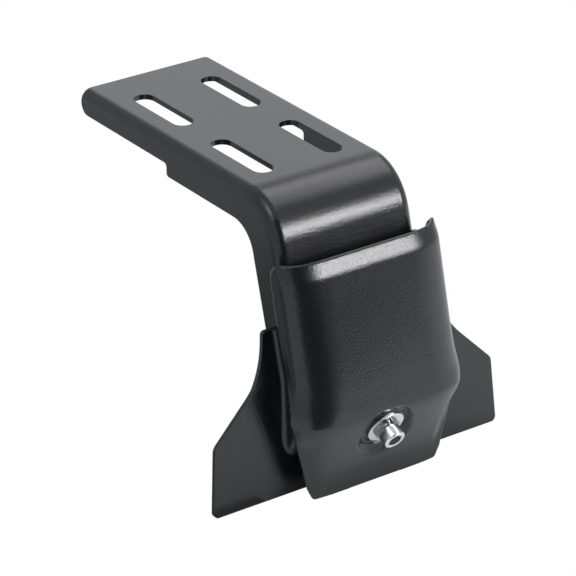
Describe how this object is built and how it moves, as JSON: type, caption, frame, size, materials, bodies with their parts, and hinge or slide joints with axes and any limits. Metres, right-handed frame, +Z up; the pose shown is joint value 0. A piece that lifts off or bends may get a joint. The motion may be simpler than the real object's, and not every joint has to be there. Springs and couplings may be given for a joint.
{
  "type": "roof bar foot",
  "caption": "Foot for a roof bar: a slotted steel bracket whose wing plate stands in a rain gutter, and a screw-drawn clamp that grips the gutter.",
  "frame": {"origin": "middle of the four slots, on the top face where the roof bar lies", "axes": "+Z up, square to the top face; +X outward from the roof towards the clamp, along the slots; +Y along the gutter"},
  "size_m": [0.1932, 0.1526, 0.1327],
  "materials": {
    "powder_coat": "semi-gloss black powder coat with a fine orange peel",
    "zinc_plate": "bright zinc plate"
  },
  "bodies": {
    "root": {"bracket": "powder_coat", "wing_plate": "powder_coat", "nut": "zinc_plate"},
    "clamp": {"clamp_plate": "powder_coat", "flat_washer": "zinc_plate", "lock_washer": "zinc_plate"},
    "screw": {"clamp_screw": "zinc_plate"}
  },
  "joints": [
    {"name": "clamp_slide", "type": "slide", "parent": "root", "child": "clamp", "axis": [0.8746, 0, -0.4848], "range_m": [-0.007, 0.004]},
    {"name": "screw_spin", "type": "hinge", "parent": "clamp", "child": "screw", "pos_m": [0.10151, 0, -0.09728], "axis": [0.8746, 0, -0.4848], "range_deg": [-2521, 1441]}
  ],
  "couplings": [
    {"joint": "screw_spin", "follows": "clamp_slide", "rad_per_m": 6283.2}
  ]
}
